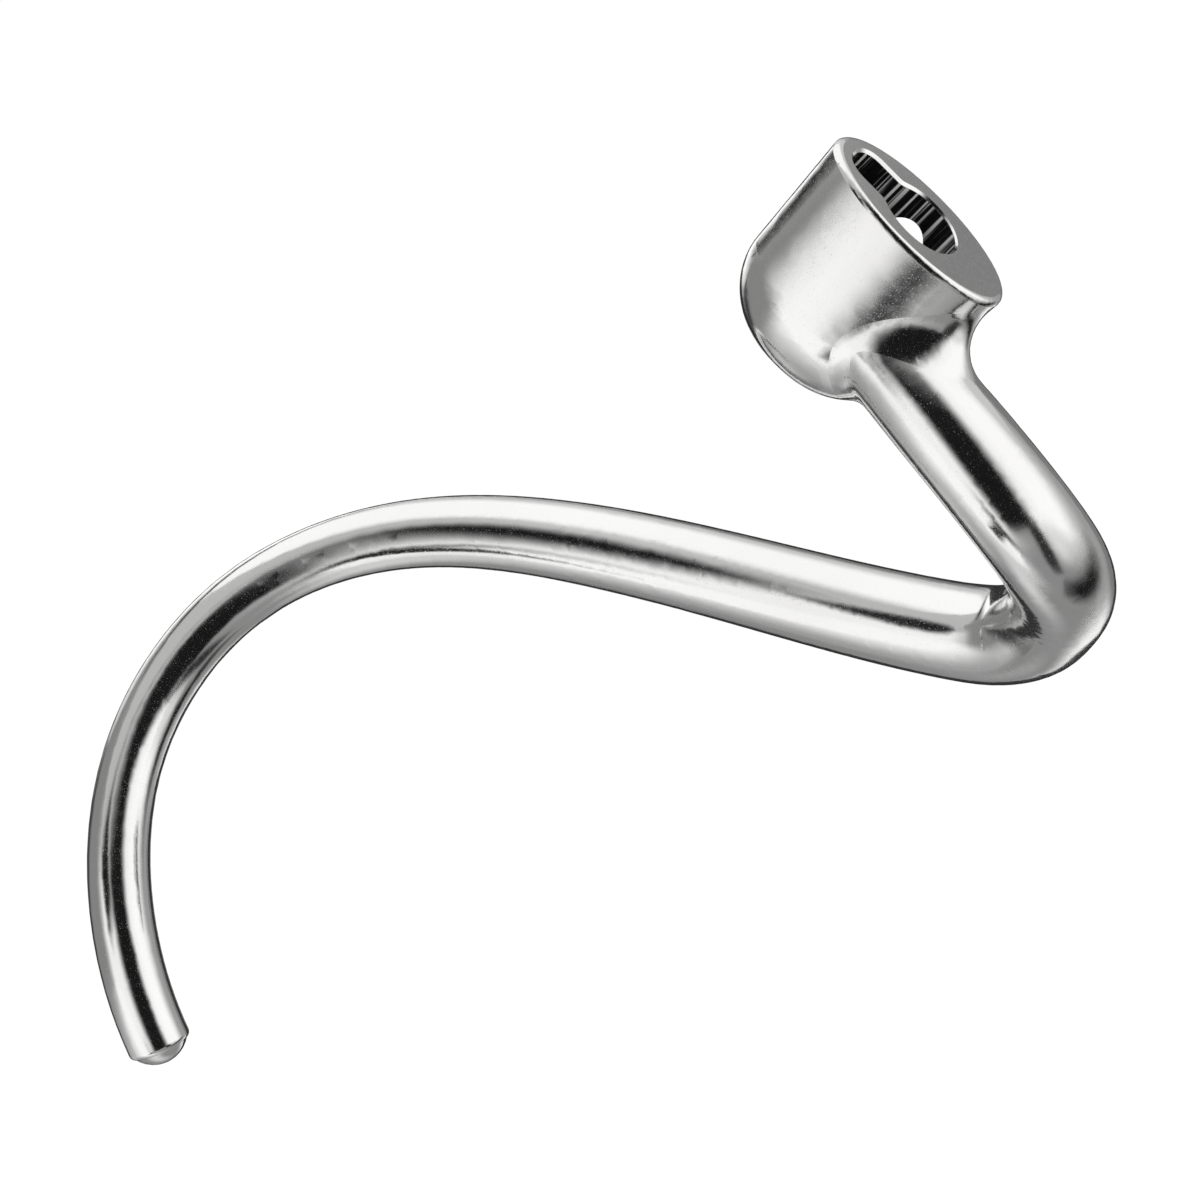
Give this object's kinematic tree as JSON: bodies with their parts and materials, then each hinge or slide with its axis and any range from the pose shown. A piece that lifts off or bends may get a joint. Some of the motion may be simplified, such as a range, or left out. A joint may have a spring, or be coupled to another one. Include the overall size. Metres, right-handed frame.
{
  "type": "stand mixer dough hook",
  "caption": "Dough hook for a stand mixer: an oval hub with a keyhole drive socket and a tapered round bar that bends at an elbow and winds down in a spiral to a domed tip.",
  "frame": {"origin": "centre of the drive socket's mouth, on the drive axis", "axes": "+Z along the drive axis, up out of the socket; +X to the side the arm leaves by; +Y to the back, where the lock window is"},
  "size_m": [0.1004, 0.0634, 0.1828],
  "materials": {
    "polished_steel": "mirror-polished cast stainless steel, bright and neutral, with fine polishing scratches"
  },
  "bodies": {
    "root": {"dough_hook": "polished_steel"}
  },
  "joints": []
}
